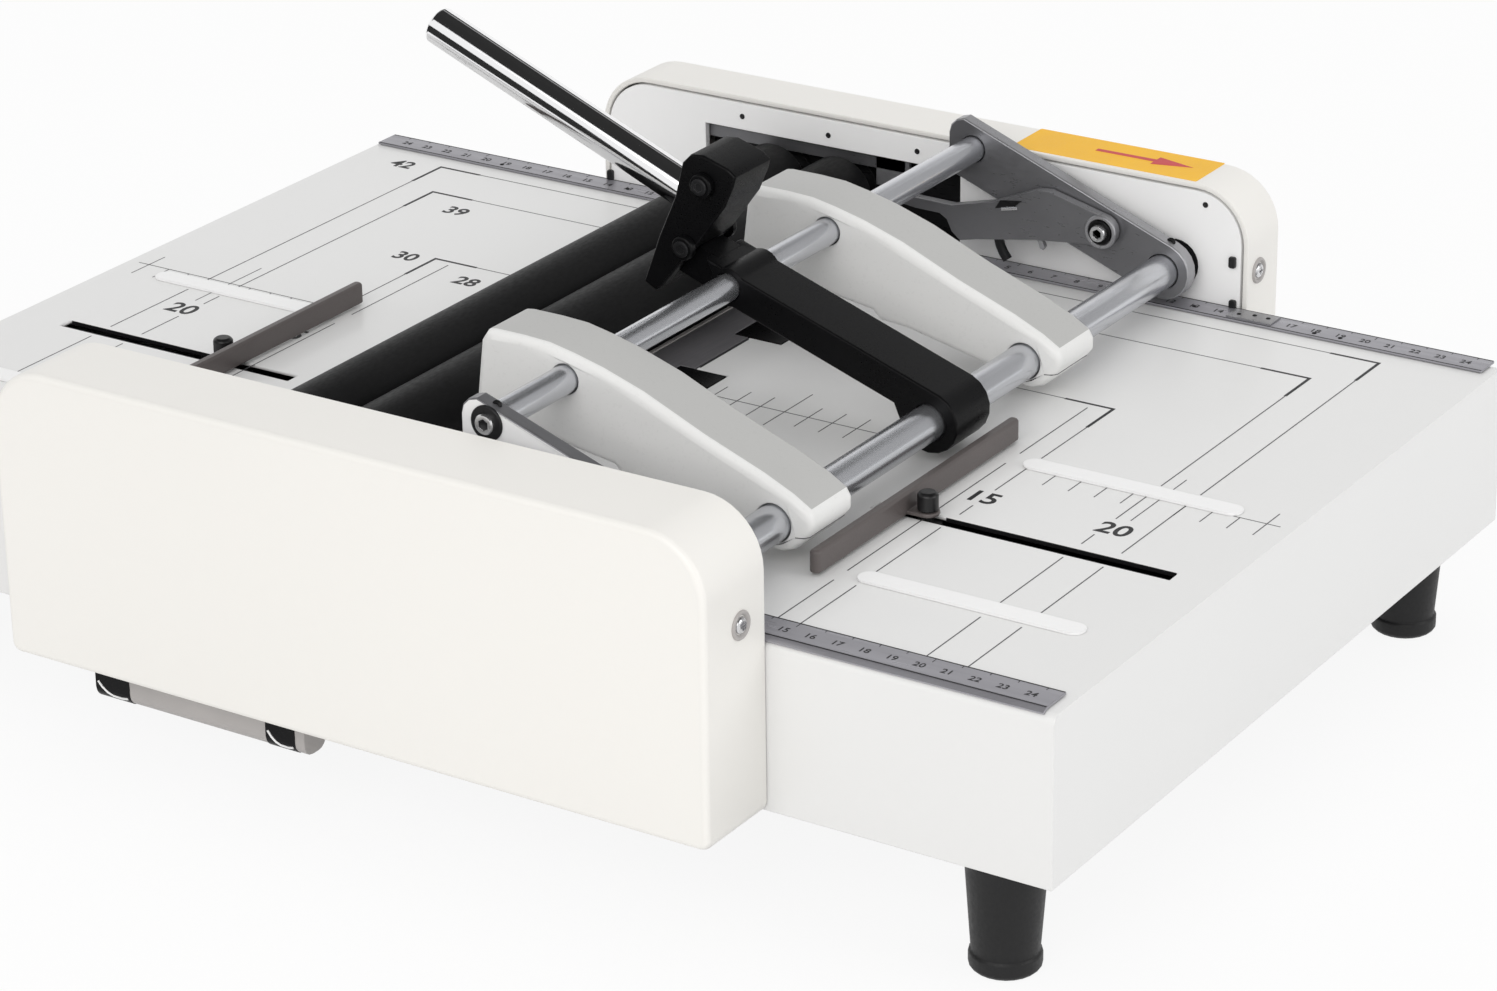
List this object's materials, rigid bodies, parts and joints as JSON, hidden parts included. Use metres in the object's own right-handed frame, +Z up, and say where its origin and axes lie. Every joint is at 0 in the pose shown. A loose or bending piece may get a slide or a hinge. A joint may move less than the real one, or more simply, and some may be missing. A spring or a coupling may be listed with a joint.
{
  "type": "booklet maker",
  "caption": "Desktop booklet maker with printed paper tables, paired fold rollers over a knife, and a hand-pressed stapling group hinged above the sheet.",
  "frame": {"origin": "on the floor, under the middle of the machine", "axes": "+X along the paper's travel to the right table, +Y from the front cover to the rear cover, +Z up"},
  "size_m": [0.5, 0.395, 0.2262],
  "materials": {
    "cover_paint": "fine off-white powder coat",
    "table_paint": "smooth light grey enamel",
    "rail_metal": "satin anodised",
    "steel": "brushed",
    "dark_steel": "dark, oiled",
    "chrome": "polished",
    "black_metal": "satin black",
    "stapler_plastic": "fine matt",
    "fence_paint": "satin taupe",
    "black_rubber": "matt",
    "black_plastic": "fine matt",
    "brass": "machined",
    "grey_plastic": "fine matt"
  },
  "bodies": {
    "frame": {"base_plate": "dark_steel", "left_table": "table_paint", "right_table": "table_paint", "guide_plate": "steel", "front_rail": "rail_metal", "rear_rail": "rail_metal", "foot_front_left": "black_rubber", "foot_front_right": "black_rubber", "foot_rear_left": "black_rubber", "foot_rear_right": "black_rubber", "front_frame_plate": "steel", "rear_frame_plate": "cover_paint", "front_cover": "cover_paint", "rear_cover": "cover_paint", "shaft_bushing_front": "brass", "shaft_bushing_rear": "brass", "return_spring": "steel", "bearing_bracket": "dark_steel", "roller_bearing_front_left": "dark_steel", "roller_bearing_front_right": "dark_steel", "roller_bearing_rear_left": "dark_steel", "roller_bearing_rear_right": "dark_steel", "drive_motor": "steel", "knife_guide_front": "steel", "knife_guide_rear": "steel", "knife_solenoid": "dark_steel", "anvil_beam": "dark_steel", "anvil_front": "black_metal", "anvil_middle": "black_metal", "anvil_rear": "black_metal", "front_bar": "grey_plastic", "power_inlet": "black_plastic"},
    "press_group": {"main_shaft": "steel", "front_stapler_housing": "stapler_plastic", "rear_stapler_housing": "stapler_plastic", "front_staple_magazine": "steel", "rear_staple_magazine": "steel", "cross_rod": "chrome", "front_link": "dark_steel", "rear_link": "dark_steel", "press_arm": "black_metal", "handle_bracket": "black_metal", "handle_tube": "chrome", "bracket_bolt_upper": "steel", "bracket_bolt_lower": "steel"},
    "latch": {"latch_lever": "dark_steel"},
    "right_roller_set": {"right_roller": "black_rubber", "right_roller_shaft": "steel", "right_roller_gear": "black_plastic"},
    "left_roller_set": {"left_roller": "black_rubber", "left_roller_shaft": "steel", "left_roller_gear": "black_plastic"},
    "drive": {"drive_gear": "brass"},
    "knife": {"fold_knife": "steel", "knife_carrier": "steel"},
    "right_fence_slider": {"right_fence": "fence_paint"},
    "left_fence_slider": {"left_fence": "fence_paint"},
    "right_clamp": {"right_fence_screw": "black_plastic"},
    "left_clamp": {"left_fence_screw": "black_plastic"},
    "power_switch": {"switch_rocker": "black_plastic"}
  },
  "joints": [
    {"name": "press_hinge", "type": "hinge", "parent": "frame", "child": "press_group", "pos_m": [0.116, -0.1625, 0.1142], "axis": [0, -1, 0], "range_deg": [0, 12.5], "stiffness_Nm_per_rad": 4, "springref_deg": -34.38},
    {"name": "latch_pivot", "type": "hinge", "parent": "press_group", "child": "latch", "pos_m": [0.0925, 0.1589, 0.127], "axis": [0, -1, 0], "range_deg": [-12.5, 0]},
    {"name": "right_roller_spin", "type": "hinge", "parent": "frame", "child": "right_roller_set", "pos_m": [-0.0298, 0, 0.1165], "axis": [0, 1, 0], "continuous": true},
    {"name": "left_roller_spin", "type": "hinge", "parent": "frame", "child": "left_roller_set", "pos_m": [-0.0599, 0, 0.1165], "axis": [0, 1, 0], "continuous": true},
    {"name": "drive_gear_spin", "type": "hinge", "parent": "frame", "child": "drive", "pos_m": [-0.07106, -0.17, 0.08215], "axis": [0, 1, 0], "continuous": true},
    {"name": "knife_slide", "type": "slide", "parent": "frame", "child": "knife", "axis": [0, 0, 1], "range_m": [0, 0.015]},
    {"name": "right_fence_slide", "type": "slide", "parent": "frame", "child": "right_fence_slider", "axis": [1, 0, 0], "range_m": [-0.0025, 0.09]},
    {"name": "left_fence_slide", "type": "slide", "parent": "frame", "child": "left_fence_slider", "axis": [-1, 0, 0], "range_m": [-0.018, 0.073]},
    {"name": "right_clamp_turn", "type": "hinge", "parent": "right_fence_slider", "child": "right_clamp", "pos_m": [0.1405, -0.0528, 0.0957], "axis": [0, 0, 1], "range_deg": [0, 180]},
    {"name": "left_clamp_turn", "type": "hinge", "parent": "left_fence_slider", "child": "left_clamp", "pos_m": [-0.1515, -0.0635, 0.0957], "axis": [0, 0, 1], "range_deg": [0, 180]},
    {"name": "power_switch_rock", "type": "hinge", "parent": "frame", "child": "power_switch", "pos_m": [-0.066, 0.1925, 0.065], "axis": [-1, 0, 0], "range_deg": [0, 12]}
  ],
  "couplings": [
    {"joint": "latch_pivot", "follows": "press_hinge", "ratio": -1},
    {"joint": "left_roller_spin", "follows": "right_roller_spin", "ratio": -1},
    {"joint": "drive_gear_spin", "follows": "right_roller_spin", "ratio": 0.71429}
  ]
}
